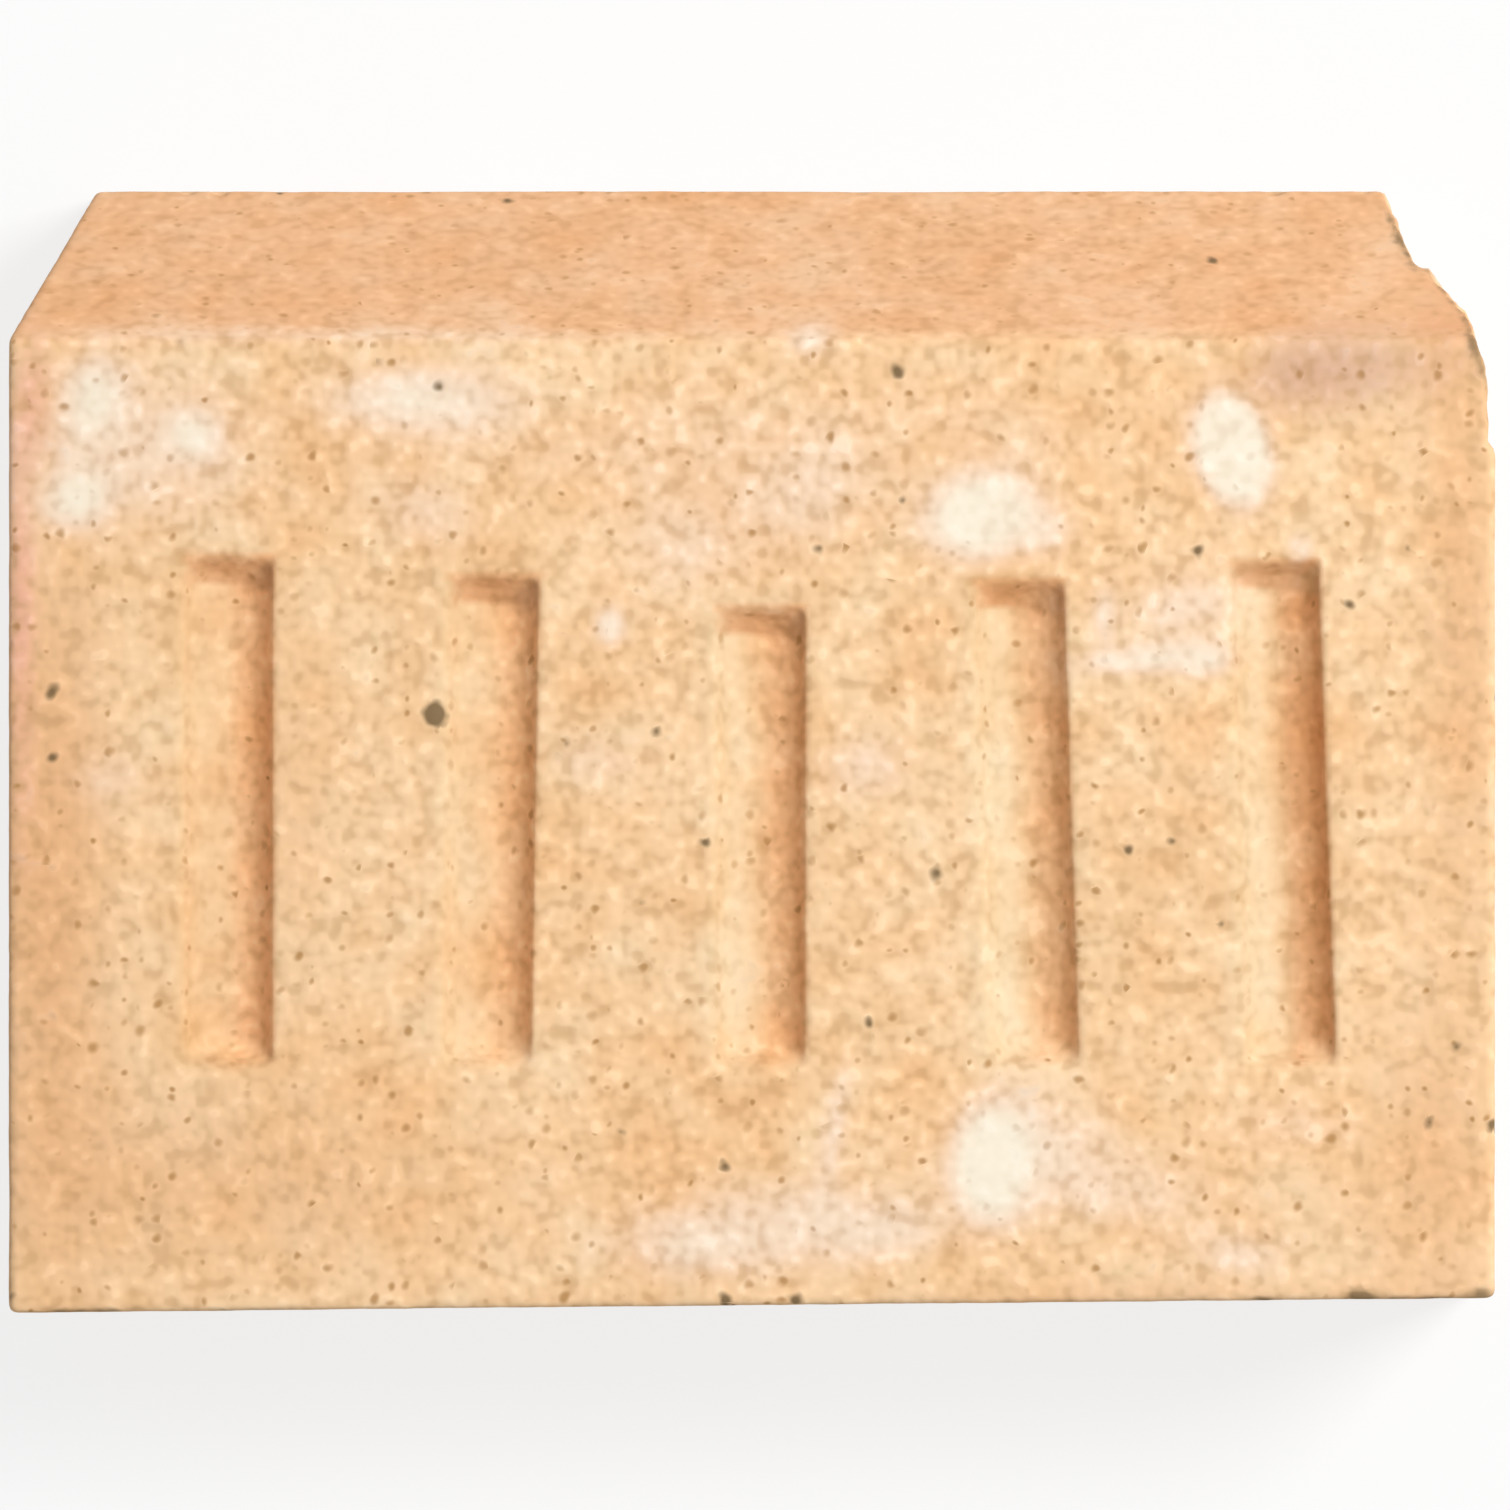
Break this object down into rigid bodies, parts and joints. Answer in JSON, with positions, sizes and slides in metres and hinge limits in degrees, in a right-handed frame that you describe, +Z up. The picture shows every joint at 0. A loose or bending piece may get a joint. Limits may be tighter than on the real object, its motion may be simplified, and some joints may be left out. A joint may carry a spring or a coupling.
{
  "type": "clay brick",
  "caption": "Pressed fireclay brick with round-bottomed flutes in its broad face, a long edge bevelled back and that edge's corners clipped, for lining a stove or hearth.",
  "frame": {"origin": "middle of the footprint, on the plain back that the brick lies on", "axes": "+X along the length, +Y across the fluted face towards the bevelled edge, +Z up out of the fluted face"},
  "size_m": [0.2286, 0.1735, 0.0635],
  "materials": {
    "fired_clay": "matt fired buff clay with fine grog and iron specks"
  },
  "bodies": {
    "root": {"brick": "fired_clay"}
  },
  "joints": []
}
